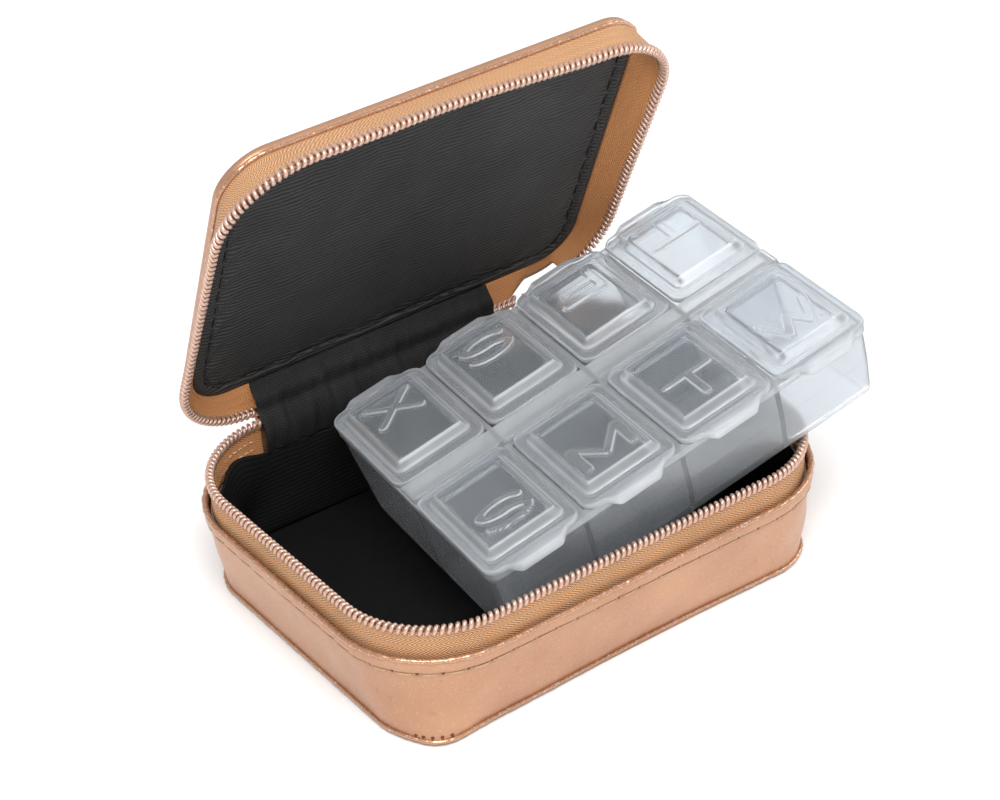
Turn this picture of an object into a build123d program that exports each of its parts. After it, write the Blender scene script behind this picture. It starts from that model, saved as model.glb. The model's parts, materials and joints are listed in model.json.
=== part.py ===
from build123d import *
import math
import os

os.makedirs("parts", exist_ok=True)

# A zipped travel case with a lift-out eight-compartment pill box.
# Millimetres, +Z up, +X along the case, +Y towards its hinge; the origin is the centre of
# the case's bottom face. The case stands open and the pill box leans out over its rim.

# ---- case base: two rounded rectangles, joined by a wall that widens upwards ----
BOTTOM_X = 106.2
BOTTOM_Y = 81.6
BOTTOM_R = 13.0
RIM_X = 115.6
RIM_Y = 91.0
RIM_R = 22.8
RIM_Z = 21.8
LEATHER = 1.1
BOARD = 0.9
FLOOR_BOARD = 1.2
LINING = 0.6
FOLD_H = 1.4

# ---- zipper: woven tapes with a coil along each free edge ----
TAPE_X = 112.4
TAPE_Y = 87.8
TAPE_R = 21.2
TAPE_T = 0.7
TAPE_Z0 = 20.0
TAPE_Z1 = 27.2
COIL_W = 1.6
COIL_H = 1.5
HINGE_X0 = -33.8
HINGE_X1 = 27.6

# ---- case lid, measured with the case closed, then turned open about the hinge line ----
HINGE_Y = 44.7
HINGE_Z = 28.2
LID_OPEN = 66.4
LID_TAPE_LEAN = 2.2
LID_SHIFT = 1.5
LID_X = 103.0
LID_Y = 77.8
LID_R = 10.8
LID_COIL_Z = 29.0
LID_TAPE_Z = LID_COIL_Z + COIL_H
LID_EDGE_Z = 33.4
LID_EDGE_H = 1.2
LID_LINING_Z = 33.5
LID_TOP_Z = 36.2
LID_PANEL_T = 1.0

# ---- zipper slider, parked on the back edge beside the hinge ----
SLIDER_TURN = 16.7
SLIDER_L = 8.0
SLIDER_H = 5.6

# ---- pill box: local X along the box, local Z = 0 on top of the lids' flanges ----
PITCH = 24.0
BOX_X = 93.8
BOX_TOP_HALF = 33.8
BOX_WAIST_HALF = 31.8
BOX_FOOT_HALF = 28.6
BOX_TOP_Z = -1.45
BOX_WAIST_Z = -12.0
BOX_FOOT_Z = -24.0
WALL = 1.2
LIP_X = 94.6
LIP_Y = 69.0
LIP_H = 1.3
SPINE_HALF = 2.75
PIN_Y = 3.6
FLANGE_T = 1.3
FLANGE_W = 22.8
FLANGE_L = 31.4
PLATEAU_H = 2.0
LETTER_H = 9.0
STROKE = 1.0
RELIEF = 0.35
BOX_RISE = 16.5
BOX_YAW = -6.0
BOX_ROLL = 1.5
BOX_ORIGIN = (17.8, -7.1, 44.2)


# Size and corner radius of the case wall at height z, moved inwards by inset.
def wall_at(z, inset):
    part_way = z / RIM_Z
    x = BOTTOM_X + (RIM_X - BOTTOM_X) * part_way - 2 * inset
    y = BOTTOM_Y + (RIM_Y - BOTTOM_Y) * part_way - 2 * inset
    r = BOTTOM_R + (RIM_R - BOTTOM_R) * part_way - inset
    return x, y, r


# One layer of the case wall: a band from z0 to z1 between two insets of the wall's face.
def wall_band(z0, z1, outer, inner):
    with BuildPart() as band:
        for inset, mode in ((outer, Mode.ADD), (inner, Mode.SUBTRACT)):
            for z in (z0, z1):
                with BuildSketch(Plane.XY.offset(z)):
                    RectangleRounded(*wall_at(z, inset))
            loft(mode=mode)
    return band.part


# A flat plate that fills the case wall at height z, inside the given inset.
def wall_plate(z, inset, thickness):
    with BuildPart() as plate:
        with BuildSketch(Plane.XY.offset(z)):
            RectangleRounded(*wall_at(z, inset))
        extrude(amount=thickness)
    return plate.part


# A straight-sided ring standing on the plane, the given wall inside its outline.
def ring(plane, x, y, r, wall, height):
    with BuildPart() as band:
        with BuildSketch(plane):
            RectangleRounded(x, y, r)
            RectangleRounded(x - 2 * wall, y - 2 * wall, r - wall, mode=Mode.SUBTRACT)
        extrude(amount=height)
    return band.part


# The block that clears a ring's back side between two x places.
def back_gap(plane, x0, x1, height):
    with BuildPart() as block:
        with BuildSketch(plane):
            with Locations(((x0 + x1) / 2, RIM_Y / 2)):
                Rectangle(x1 - x0, 20)
        extrude(amount=height)
    return block.part


# ------------------------------------------------------------------ case base
with BuildPart() as base_bottom_panel:
    add(wall_plate(0, LEATHER, LEATHER))
base_bottom_panel.part.label = "base_bottom_panel"
export_step(base_bottom_panel.part, "parts/base_bottom_panel.step")

FOLD_Z = RIM_Z - FOLD_H / 2
with BuildPart() as base_side_wall:
    add(wall_band(0, FOLD_Z, 0, LEATHER))
base_side_wall.part.label = "base_side_wall"
export_step(base_side_wall.part, "parts/base_side_wall.step")

WELT_Z = 0.2
WELT_H = 1.6
WELT_T = 0.8
with BuildPart() as base_welt:
    add(wall_band(WELT_Z, WELT_Z + WELT_H, -WELT_T, 0))
base_welt.part.label = "base_welt"
export_step(base_welt.part, "parts/base_welt.step")

FOLD_OUT = 0.5
with BuildPart() as base_rim_fold:
    add(wall_band(FOLD_Z, FOLD_Z + FOLD_H, -FOLD_OUT, LEATHER))
base_rim_fold.part.label = "base_rim_fold"
export_step(base_rim_fold.part, "parts/base_rim_fold.step")

WALL_BOARD_TOP = TAPE_Z0 - 0.2
with BuildPart() as base_wall_board:
    add(wall_band(LEATHER, WALL_BOARD_TOP, LEATHER, LEATHER + BOARD))
base_wall_board.part.label = "base_wall_board"
export_step(base_wall_board.part, "parts/base_wall_board.step")

INNER = LEATHER + BOARD
with BuildPart() as base_floor_board:
    add(wall_plate(LEATHER, INNER, FLOOR_BOARD))
base_floor_board.part.label = "base_floor_board"
export_step(base_floor_board.part, "parts/base_floor_board.step")

FLOOR_Z = LEATHER + FLOOR_BOARD
with BuildPart() as base_lining_floor:
    add(wall_plate(FLOOR_Z, INNER, LINING))
base_lining_floor.part.label = "base_lining_floor"
export_step(base_lining_floor.part, "parts/base_lining_floor.step")

LINING_TOP = TAPE_Z0 - 0.1
with BuildPart() as base_lining_wall:
    add(wall_band(FLOOR_Z + LINING, LINING_TOP, INNER + 0.05, INNER + LINING))
base_lining_wall.part.label = "base_lining_wall"
export_step(base_lining_wall.part, "parts/base_lining_wall.step")

with BuildPart() as base_zipper_tape:
    add(ring(Plane.XY.offset(TAPE_Z0), TAPE_X, TAPE_Y, TAPE_R, TAPE_T, TAPE_Z1 - TAPE_Z0))
    add(back_gap(Plane.XY.offset(TAPE_Z0), HINGE_X0, HINGE_X1, TAPE_Z1 - TAPE_Z0), mode=Mode.SUBTRACT)
base_zipper_tape.part.label = "base_zipper_tape"
export_step(base_zipper_tape.part, "parts/base_zipper_tape.step")

# The slider sits where the back edge starts to turn the corner; it takes the coil's place there.
TAPE_MID_R = TAPE_R - TAPE_T / 2
SLIDER_X = TAPE_X / 2 - TAPE_R + TAPE_MID_R * math.sin(math.radians(SLIDER_TURN))
SLIDER_Y = TAPE_Y / 2 - TAPE_R + TAPE_MID_R * math.cos(math.radians(SLIDER_TURN))
COIL_OUT = 1.2
SLIDER_X0 = SLIDER_X - SLIDER_L / 2 - 0.6
SLIDER_X1 = SLIDER_X + SLIDER_L / 2 + 0.8
with BuildPart() as base_zipper_coil:
    coil_plane = Plane.XY.offset(TAPE_Z1)
    add(ring(coil_plane, TAPE_X + 2 * COIL_OUT, TAPE_Y + 2 * COIL_OUT, TAPE_R + COIL_OUT, COIL_W, COIL_H))
    fillet(base_zipper_coil.faces().sort_by(Axis.Z)[-1].edges(), 0.5)
    add(back_gap(coil_plane, HINGE_X0, HINGE_X1, COIL_H), mode=Mode.SUBTRACT)
    add(back_gap(coil_plane, SLIDER_X0, SLIDER_X1, COIL_H), mode=Mode.SUBTRACT)
base_zipper_coil.part.label = "base_zipper_coil"
export_step(base_zipper_coil.part, "parts/base_zipper_coil.step")

# ------------------------------------------------------------------ case lid
# The plane that lies at height z when the case is shut, opened by LID_OPEN less the lean.
def lid_plane(z, lean=0.0):
    opening = Pos(LID_SHIFT, HINGE_Y, HINGE_Z) * Rot(lean - LID_OPEN, 0, 0) * Pos(0, -HINGE_Y, -HINGE_Z)
    return Plane(opening * Pos(0, 0, z))


# The soft tape's free edge, with the coil, hangs a little less open than the lid's panel.
with BuildPart() as lid_zipper_coil:
    coil_plane = lid_plane(LID_COIL_Z, LID_TAPE_LEAN)
    add(ring(coil_plane, TAPE_X + 2 * COIL_OUT, TAPE_Y + 2 * COIL_OUT, TAPE_R + COIL_OUT, COIL_W, COIL_H))
    add(back_gap(coil_plane, HINGE_X0, HINGE_X1, COIL_H), mode=Mode.SUBTRACT)
    add(back_gap(coil_plane, SLIDER_X0 - LID_SHIFT, SLIDER_X1, COIL_H), mode=Mode.SUBTRACT)
lid_zipper_coil.part.label = "lid_zipper_coil"
export_step(lid_zipper_coil.part, "parts/lid_zipper_coil.step")


# The lid narrows from its zipper to its panel; this fills that shape, moved inwards by inset.
def lid_funnel(inset):
    with BuildPart() as funnel:
        with BuildSketch(lid_plane(LID_TAPE_Z, LID_TAPE_LEAN)):
            RectangleRounded(TAPE_X - 2 * inset, TAPE_Y - 2 * inset, TAPE_R - inset)
        with BuildSketch(lid_plane(LID_EDGE_Z)):
            RectangleRounded(LID_X - 2 * inset, LID_Y - 2 * inset, LID_R - inset)
        loft()
    return funnel.part


LID_TAPE_INSET = 1.3
with BuildPart() as lid_zipper_tape:
    tape_plane = lid_plane(LID_TAPE_Z, LID_TAPE_LEAN)
    tape_h = LID_EDGE_Z - LID_TAPE_Z + 1.0
    add(lid_funnel(0))
    add(lid_funnel(LID_TAPE_INSET), mode=Mode.SUBTRACT)
    add(back_gap(tape_plane, HINGE_X0, HINGE_X1, tape_h), mode=Mode.SUBTRACT)
    add(back_gap(tape_plane, SLIDER_X0 - LID_SHIFT, SLIDER_X1, tape_h), mode=Mode.SUBTRACT)
lid_zipper_tape.part.label = "lid_zipper_tape"
export_step(lid_zipper_tape.part, "parts/lid_zipper_tape.step")

# The turned edge: a leather band round the panel, rolled out at its free edge.
EDGE_WALL = 1.5
with BuildPart() as lid_edge_fold:
    add(ring(lid_plane(LID_EDGE_Z), LID_X + 2 * FOLD_OUT, LID_Y + 2 * FOLD_OUT, LID_R + FOLD_OUT,
             EDGE_WALL, LID_EDGE_H))
lid_edge_fold.part.label = "lid_edge_fold"
export_step(lid_edge_fold.part, "parts/lid_edge_fold.step")

LID_WALL_Z = LID_EDGE_Z + LID_EDGE_H
LID_WALL_H = LID_TOP_Z - LID_PANEL_T - LID_WALL_Z
with BuildPart() as lid_side_band:
    add(ring(lid_plane(LID_WALL_Z), LID_X, LID_Y, LID_R, EDGE_WALL - FOLD_OUT, LID_WALL_H))
lid_side_band.part.label = "lid_side_band"
export_step(lid_side_band.part, "parts/lid_side_band.step")

PANEL_EDGE = 0.7
with BuildPart() as lid_top_panel:
    with BuildSketch(lid_plane(LID_TOP_Z - LID_PANEL_T)):
        RectangleRounded(LID_X, LID_Y, LID_R)
    extrude(amount=LID_PANEL_T)
    fillet(lid_top_panel.faces().sort_by(Axis((0, 0, 0), lid_plane(0).z_dir))[-1].edges(), PANEL_EDGE)
lid_top_panel.part.label = "lid_top_panel"
export_step(lid_top_panel.part, "parts/lid_top_panel.step")


# A plate that fills the lid inside its leather edge.
def lid_plate(z, thickness):
    with BuildPart() as plate:
        with BuildSketch(lid_plane(z)):
            RectangleRounded(LID_X - 2 * EDGE_WALL + 0.8, LID_Y - 2 * EDGE_WALL + 0.8, LID_R - 1.1)
        extrude(amount=thickness)
    return plate.part


LID_BOARD_Z = LID_LINING_Z + LINING
with BuildPart() as lid_board:
    add(lid_plate(LID_BOARD_Z, LID_TOP_Z - LID_PANEL_T - LID_BOARD_Z))
lid_board.part.label = "lid_board"
export_step(lid_board.part, "parts/lid_board.step")

with BuildPart() as lid_lining:
    add(lid_plate(LID_LINING_Z, LINING))
lid_lining.part.label = "lid_lining"
export_step(lid_lining.part, "parts/lid_lining.step")


# ------------------------------------------------------------------ hinge strips
# Both strips run from inside the base's back wall to inside the lid's, across the hinge line.
def hinge_strip(points, thickness):
    with BuildPart() as strip:
        with BuildSketch(Plane.YZ.offset(HINGE_X0 + 1.6)):
            with BuildLine() as run:
                Spline(*points)
            trace(run.line, line_width=thickness)
        extrude(amount=HINGE_X1 - HINGE_X0 - 3.2)
    return strip.part


SPINE_T = 0.7
with BuildPart() as hinge_spine:
    add(hinge_strip([(43.5, 20.4), (43.6, 24.0), (46.2, 29.6), (49.9, 33.6)], SPINE_T))
hinge_spine.part.label = "hinge_spine"
export_step(hinge_spine.part, "parts/hinge_spine.step")

with BuildPart() as hinge_lining:
    add(hinge_strip([(42.3, 21.4), (42.2, 25.0), (44.3, 31.4), (46.3, 36.0)], SPINE_T))
hinge_lining.part.label = "hinge_lining"
export_step(hinge_lining.part, "parts/hinge_lining.step")

# ------------------------------------------------------------------ zipper slider and pull
# The slider is an H in section: an inner and an outer plate joined by a neck over the coil.
SLIDER_Z = 28.2
PLATE_T = 1.0
PLATE_GAP = 2.2
SLIDER_PLANE = Plane(Pos(SLIDER_X, SLIDER_Y, SLIDER_Z) * Rot(0, 0, -SLIDER_TURN))
PIN_OUT = PLATE_GAP / 2 + PLATE_T + 1.5
PIN_R = 0.6
LUG_X = 1.8
LUG_T = 1.2


# A plane across the slider, x along the zipper and y outwards, at height z.
def slider_plane(z):
    return SLIDER_PLANE.offset(z)


with BuildPart() as zipper_slider:
    for side in (-1, 1):
        with BuildSketch(slider_plane(-SLIDER_H / 2)):
            with Locations((0, side * (PLATE_GAP + PLATE_T) / 2)):
                RectangleRounded(SLIDER_L, PLATE_T, 0.45)
        extrude(amount=SLIDER_H)
    with BuildSketch(slider_plane(-0.6)):
        with Locations((SLIDER_L / 2 - 1.2, 0)):
            Rectangle(2.0, PLATE_GAP + 0.4)
    extrude(amount=1.2)
    for side in (-1, 1):
        with BuildSketch(Plane(SLIDER_PLANE.from_local_coords((side * (LUG_X + LUG_T) / 2, 0, 0)),
                               x_dir=SLIDER_PLANE.y_dir, z_dir=SLIDER_PLANE.x_dir)):
            with Locations(((PLATE_GAP / 2 + PLATE_T + PIN_OUT) / 2, 0)):
                Rectangle(PIN_OUT - PLATE_GAP / 2 - PLATE_T + 0.2, 2.4)
            with Locations((PIN_OUT, 0)):
                Circle(1.2)
        extrude(amount=LUG_T / 2, both=True)
    with BuildSketch(Plane(SLIDER_PLANE.from_local_coords((0, 0, 0)),
                           x_dir=SLIDER_PLANE.y_dir, z_dir=SLIDER_PLANE.x_dir)):
        with Locations((PIN_OUT, 0)):
            Circle(PIN_R)
    extrude(amount=LUG_X / 2 + 0.2, both=True)
zipper_slider.part.label = "zipper_slider"
export_step(zipper_slider.part, "parts/zipper_slider.step")

# The pull hangs from the slider's pin: an eye, a short neck and a flat rounded tab.
PULL_L = 17.0
PULL_W = 4.8
PULL_T = 1.1
EYE_R = 1.25
PIN_CLEAR = 0.08
with BuildPart() as zipper_pull:
    with BuildSketch(Plane(SLIDER_PLANE.from_local_coords((0, 0, 0)),
                           x_dir=SLIDER_PLANE.y_dir, z_dir=SLIDER_PLANE.x_dir)):
        with Locations((PIN_OUT, 0)):
            Circle(EYE_R)
        with Locations((PIN_OUT, -2.2)):
            Rectangle(PULL_T, 3.6)
        with Locations((PIN_OUT, 0)):
            Circle(PIN_R + PIN_CLEAR, mode=Mode.SUBTRACT)
    extrude(amount=LUG_X / 2 - 0.15, both=True)
    with BuildSketch(Plane(SLIDER_PLANE.from_local_coords((0, PIN_OUT - PULL_T / 2, 0)),
                           x_dir=SLIDER_PLANE.x_dir, z_dir=SLIDER_PLANE.y_dir)):
        with Locations((0, 3.4 + (PULL_L - 3.4) / 2)):
            RectangleRounded(PULL_W, PULL_L - 3.4, 1.6)
        with Locations((0, PULL_L - 3.0)):
            Circle(1.2, mode=Mode.SUBTRACT)
    extrude(amount=PULL_T)
zipper_pull.part.label = "zipper_pull"
export_step(zipper_pull.part, "parts/zipper_pull.step")

# ------------------------------------------------------------------ pill box
RISE = math.radians(BOX_RISE)
YAW = math.radians(BOX_YAW)
BOX_ALONG = Vector(math.cos(RISE) * math.cos(YAW), math.cos(RISE) * math.sin(YAW), math.sin(RISE))
BOX_LEVEL = Plane(origin=BOX_ORIGIN, x_dir=BOX_ALONG,
                  z_dir=BOX_ALONG.cross(Vector(-math.sin(YAW), math.cos(YAW), 0)))
BOX_PLANE = Plane(BOX_LEVEL.location * Rot(-BOX_ROLL, 0, 0))


# A plane parallel to the pill box's top, at local height z.
def box_plane(z):
    return BOX_PLANE.offset(z)


# A plane across the pill box at local x; its own x runs front to back, its y upwards.
def box_section(x):
    origin = BOX_PLANE.from_local_coords((x, 0, 0))
    return Plane(origin, x_dir=BOX_PLANE.y_dir, z_dir=BOX_PLANE.x_dir)


# Half of a compartment's section: back row for side 1, front row for side -1.
def cell_outline(side):
    foot_z = BOX_FOOT_Z + WALL
    corners = [
        (SPINE_HALF / 4, 0),
        (SPINE_HALF / 4, foot_z),
        (BOX_FOOT_HALF - WALL, foot_z),
        (BOX_WAIST_HALF - WALL, BOX_WAIST_Z),
        (BOX_TOP_HALF - WALL, BOX_TOP_Z),
        (BOX_TOP_HALF - WALL, 0),
    ]
    with BuildSketch() as outline:
        Polygon(*[(side * y, z) for y, z in corners], align=None)
        fillet(outline.vertices().group_by(Axis.Y)[0], 3.5)
    return outline.sketch


BOX_AXIS = Axis(BOX_ORIGIN, BOX_PLANE.x_dir)
SIDE_AXIS = Axis(BOX_ORIGIN, BOX_PLANE.y_dir)
UP_AXIS = Axis(BOX_ORIGIN, BOX_PLANE.z_dir)
with BuildPart() as pill_tray:
    with BuildSketch(box_section(-BOX_X / 2)):
        Polygon(
            (-BOX_TOP_HALF, BOX_TOP_Z),
            (-BOX_WAIST_HALF, BOX_WAIST_Z),
            (-BOX_FOOT_HALF, BOX_FOOT_Z),
            (BOX_FOOT_HALF, BOX_FOOT_Z),
            (BOX_WAIST_HALF, BOX_WAIST_Z),
            (BOX_TOP_HALF, BOX_TOP_Z),
            align=None,
        )
    extrude(amount=BOX_X)
    fillet(pill_tray.edges().filter_by(BOX_AXIS).group_by(UP_AXIS)[0], 4.5)
    end_faces = pill_tray.faces().sort_by(BOX_AXIS)
    fillet(end_faces[0].edges().sort_by(UP_AXIS)[:-1], 2.0)
    fillet(pill_tray.faces().sort_by(BOX_AXIS)[-1].edges().sort_by(UP_AXIS)[:-1], 2.0)
    with BuildSketch(box_plane(BOX_TOP_Z)):
        RectangleRounded(LIP_X, LIP_Y, 3.0)
    extrude(amount=-LIP_H)
    for column in range(4):
        left = (column - 2) * PITCH + WALL / 2 if column else -BOX_X / 2 + WALL
        right = (column - 1) * PITCH - WALL / 2 if column < 3 else BOX_X / 2 - WALL
        for side in (-1, 1):
            with BuildSketch(box_section(left)):
                add(cell_outline(side))
            extrude(amount=right - left, mode=Mode.SUBTRACT)
    with BuildSketch(box_plane(BOX_TOP_Z - LIP_H)):
        Rectangle(BOX_X, 2 * SPINE_HALF)
    extrude(amount=LIP_H - BOX_TOP_Z - 0.15)
pill_tray.part.label = "pill_tray"
export_step(pill_tray.part, "parts/pill_tray.step")


# Letters are single strokes on a grid 1 wide and 1 high, origin at the lower left corner.
def arc_points(cx, cy, rx, ry, start, stop, steps):
    turns = [start + (stop - start) * i / steps for i in range(steps + 1)]
    return [(cx + rx * math.cos(math.radians(t)), cy + ry * math.sin(math.radians(t))) for t in turns]


LETTERS = {
    "S": [arc_points(0.5, 0.75, 0.42, 0.25, 20, 270, 10) + arc_points(0.5, 0.25, 0.42, 0.25, 90, -160, 10)],
    "M": [[(0.0, 0.0), (0.0, 1.0), (0.5, 0.35), (1.0, 1.0), (1.0, 0.0)]],
    "T": [[(0.0, 1.0), (1.0, 1.0)], [(0.5, 1.0), (0.5, 0.0)]],
    "W": [[(0.0, 1.0), (0.25, 0.0), (0.5, 0.7), (0.75, 0.0), (1.0, 1.0)]],
    "F": [[(0.15, 0.0), (0.15, 1.0), (0.9, 1.0)], [(0.15, 0.52), (0.75, 0.52)]],
    "X": [[(0.0, 0.0), (1.0, 1.0)], [(0.0, 1.0), (1.0, 0.0)]],
}
LETTER_Y = 18.4
PLATEAU_Y0 = 3.2
PLATEAU_Y1 = 27.8
PLATEAU_HALF = 8.7
BEVEL = 35
RECESS_Y0 = 5.0
RECESS_Y1 = 26.0
RECESS_HALF = 6.9
TAB_HALF = 6.5
TAB_OUT = 1.8
TAB_DROP = 1.3
FLANGE_R = 4.0

# Column from the left, row side, and letter of each lid.
PILL_LIDS = {
    "pill_lid_sunday": (0, -1, "S"),
    "pill_lid_monday": (1, -1, "M"),
    "pill_lid_tuesday": (2, -1, "T"),
    "pill_lid_wednesday": (3, -1, "W"),
    "pill_lid_thursday": (3, 1, "T"),
    "pill_lid_friday": (2, 1, "F"),
    "pill_lid_saturday": (1, 1, "S"),
    "pill_lid_extra": (0, 1, "X"),
}


# Frame of one lid: origin on its hinge pin, y outwards over the compartment.
def pill_lid_frame(column, side):
    pin = BOX_PLANE.from_local_coords(((column - 1.5) * PITCH, side * PIN_Y, -FLANGE_T / 2))
    return Plane(pin, x_dir=BOX_PLANE.x_dir * side, z_dir=BOX_PLANE.z_dir)


# One run of straight strokes as raised ribs on the lid's plateau.
def letter_rib(frame, run, height):
    points = [(LETTER_H * 0.5 - LETTER_H * u, LETTER_Y + LETTER_H * (0.5 - v)) for u, v in run]
    with BuildPart() as rib:
        with BuildSketch(frame.offset(height)):
            with BuildLine() as path:
                Polyline(*points)
            trace(path.line, line_width=STROKE)
        extrude(amount=RELIEF)
    return rib.part


for name, (column, side, letter) in PILL_LIDS.items():
    frame = pill_lid_frame(column, side)
    section = Plane(frame.from_local_coords((-FLANGE_W / 2, 0, 0)), x_dir=frame.y_dir, z_dir=frame.x_dir)
    with BuildPart() as pill_lid:
        with BuildSketch(section):
            Circle(FLANGE_T / 2)
            with Locations((FLANGE_L / 2, 0)):
                Rectangle(FLANGE_L, FLANGE_T)
        extrude(amount=FLANGE_W)
        upright = pill_lid.edges().filter_by(Axis(frame.origin, frame.z_dir))
        fillet(upright.sort_by(Axis(frame.origin, frame.y_dir))[-2:], FLANGE_R)
        with BuildSketch(frame.offset(FLANGE_T / 2)):
            with Locations((0, (PLATEAU_Y0 + PLATEAU_Y1) / 2)):
                Rectangle(2 * PLATEAU_HALF, PLATEAU_Y1 - PLATEAU_Y0)
        extrude(amount=PLATEAU_H, taper=BEVEL)
        with BuildSketch(frame.offset(-FLANGE_T / 2)):
            with Locations((0, (RECESS_Y0 + RECESS_Y1) / 2)):
                Rectangle(2 * RECESS_HALF, RECESS_Y1 - RECESS_Y0)
        extrude(amount=FLANGE_T + PLATEAU_H - WALL, mode=Mode.SUBTRACT)
        with BuildSketch(frame.offset(-FLANGE_T / 2 - TAB_DROP)):
            with BuildLine():
                ThreePointArc((-TAB_HALF, FLANGE_L - 0.2), (0, FLANGE_L + TAB_OUT), (TAB_HALF, FLANGE_L - 0.2))
                Line((TAB_HALF, FLANGE_L - 0.2), (-TAB_HALF, FLANGE_L - 0.2))
            make_face()
        extrude(amount=FLANGE_T + TAB_DROP)
        for run in LETTERS[letter]:
            add(letter_rib(frame, run, FLANGE_T / 2 + PLATEAU_H))
    pill_lid.part.label = name
    export_step(pill_lid.part, f"parts/{name}.step")
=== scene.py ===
import json
import math

import bmesh
import bpy
import numpy as np
from mathutils import Matrix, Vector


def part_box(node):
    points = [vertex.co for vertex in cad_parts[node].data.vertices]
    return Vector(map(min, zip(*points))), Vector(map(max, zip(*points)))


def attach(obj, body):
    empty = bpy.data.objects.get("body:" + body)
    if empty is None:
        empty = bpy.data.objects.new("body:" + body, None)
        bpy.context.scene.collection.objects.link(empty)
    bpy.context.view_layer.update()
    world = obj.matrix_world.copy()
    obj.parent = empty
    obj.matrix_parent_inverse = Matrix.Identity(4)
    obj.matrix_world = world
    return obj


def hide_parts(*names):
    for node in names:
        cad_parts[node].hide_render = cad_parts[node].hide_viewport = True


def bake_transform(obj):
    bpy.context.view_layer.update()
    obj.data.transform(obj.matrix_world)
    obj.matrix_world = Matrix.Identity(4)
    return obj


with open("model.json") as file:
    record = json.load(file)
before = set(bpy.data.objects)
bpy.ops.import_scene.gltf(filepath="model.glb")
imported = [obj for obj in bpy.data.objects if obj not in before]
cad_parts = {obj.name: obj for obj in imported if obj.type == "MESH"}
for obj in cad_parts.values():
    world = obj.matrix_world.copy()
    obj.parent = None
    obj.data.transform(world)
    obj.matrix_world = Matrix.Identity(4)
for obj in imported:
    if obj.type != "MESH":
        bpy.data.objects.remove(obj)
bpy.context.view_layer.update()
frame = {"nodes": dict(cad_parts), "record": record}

# ---------------------------------------------------------------- base: leather side wall
# One strip of rose-gold leatherette, 22 mm high, is glued round the board wall and leans outwards
# to the rim. A row of long stitches holds its turned top; the front pulls in a little at the
# foot, and the front left corner stands off in a fold.
MM = 0.001
BOTTOM_SIZE = (106.2, 81.6, 13.0)
RIM_SIZE = (115.6, 91.0, 22.8)
RIM_Z = 21.8
WALL_TOP = 21.4
STITCH_Z = 18.2
STITCH_STEP = 5.2
STITCH_HALF = 2.05
LEATHER_T = 1.0
# Shares of the loop that the half back, corners and sides take, and what happens at their ends.
LOOP_ENDS = np.cumsum([0, 37.8, 31.4, 51, 31.4, 75.6, 31.4, 51, 31.4, 37.8]) / 378.8
LOOP_X = [0, -1, -1, -1, -1, 1, 1, 1, 1, 0]
LOOP_Y = [1, 1, 1, -1, -1, -1, -1, 1, 1, 1]
LOOP_TURN = [90, 90, 180, 180, 270, 270, 360, 360, 450, 450]


def loop_points(u, x, y, r):
    """A rounded rectangle, anticlockwise from the middle of its back side. A centre point runs
    between the corners' centres while the outward direction turns at each corner, and the
    point lies r out from it. u is 0 to 1."""
    turn = np.radians(np.interp(u, LOOP_ENDS, LOOP_TURN))
    nx, ny = np.cos(turn), np.sin(turn)
    px = np.interp(u, LOOP_ENDS, LOOP_X) * (x / 2 - r) + r * nx
    py = np.interp(u, LOOP_ENDS, LOOP_Y) * (y / 2 - r) + r * ny
    return px, py, nx, ny


def bell(value, middle, width):
    """A smooth hump, 1 at the middle and fading over about one width on both sides."""
    return np.exp(-(((value - middle) / width) ** 2))


def wall_face(u, z, out):
    """The case wall's outer face: the loop grows evenly from the bottom's size to the rim's with
    height, and every point is moved outwards by out. At the foot the long sides are pulled in
    and the front left corner is flared."""
    share = z / RIM_Z
    x, y, r = (low + (high - low) * share for low, high in zip(BOTTOM_SIZE, RIM_SIZE))
    px, py, nx, ny = loop_points(u, x, y, r)
    foot = np.clip(1 - z / 15, 0, 1) ** 2
    pulled = 1.1 * bell(u, 0.52, 0.07) + 0.8 * bell(u, 0.0, 0.06) + 0.8 * bell(u, 1.0, 0.06)
    out = out + foot * (1.7 * bell(u, 0.372, 0.02) - pulled)
    return np.stack(np.broadcast_arrays(px + nx * out, py + ny * out, z), axis=-1)


def run_lengths(face, z, out):
    """How far along the loop, in mm, each share of it is at one height: the summed lengths of
    2000 short chords."""
    u = np.linspace(0, 1, 2001)
    chords = np.linalg.norm(np.diff(face(u, z, out), axis=0), axis=1)
    return u, np.concatenate([[0.0], np.cumsum(chords)])


def quads(index):
    """The four-cornered faces between neighbouring rows and columns of a grid of vertex numbers."""
    return np.stack([index[:-1, :-1], index[:-1, 1:], index[1:, 1:], index[1:, :-1]], -1).reshape(-1, 4)


def put_in_scene(name, data):
    """A new object in the scene for a mesh, a lamp or a camera."""
    thing = bpy.data.objects.new(name, data)
    bpy.context.scene.collection.objects.link(thing)
    return thing


def make_piece(name, points, faces, corner_uv, body, finish, replaced=(), solid=False):
    """A mesh piece in metres from points in mm and faces, riding on its body. A solid whose faces
    would point inwards, by its signed volume, is turned outwards."""
    a, b, c, d = (points[faces[:, k]] for k in range(4))
    if solid and np.sum(a * np.cross(b, c)) + np.sum(a * np.cross(c, d)) < 0:
        faces, corner_uv = faces[:, ::-1], corner_uv[:, ::-1]
    mesh = bpy.data.meshes.new(name)
    mesh.from_pydata((points * MM).tolist(), [], faces.tolist())
    mesh.uv_layers.new(name="UVMap").data.foreach_set("uv", corner_uv.astype(np.float32).ravel())
    work = bmesh.new()
    work.from_mesh(mesh)
    bmesh.ops.remove_doubles(work, verts=work.verts, dist=2e-7)
    work.to_mesh(mesh)
    work.free()
    mesh.shade_smooth()
    piece = put_in_scene(name, mesh)
    mesh.materials.append(finish)
    if body:
        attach(piece, body)
    if replaced:
        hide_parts(*replaced)
    return piece


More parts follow.
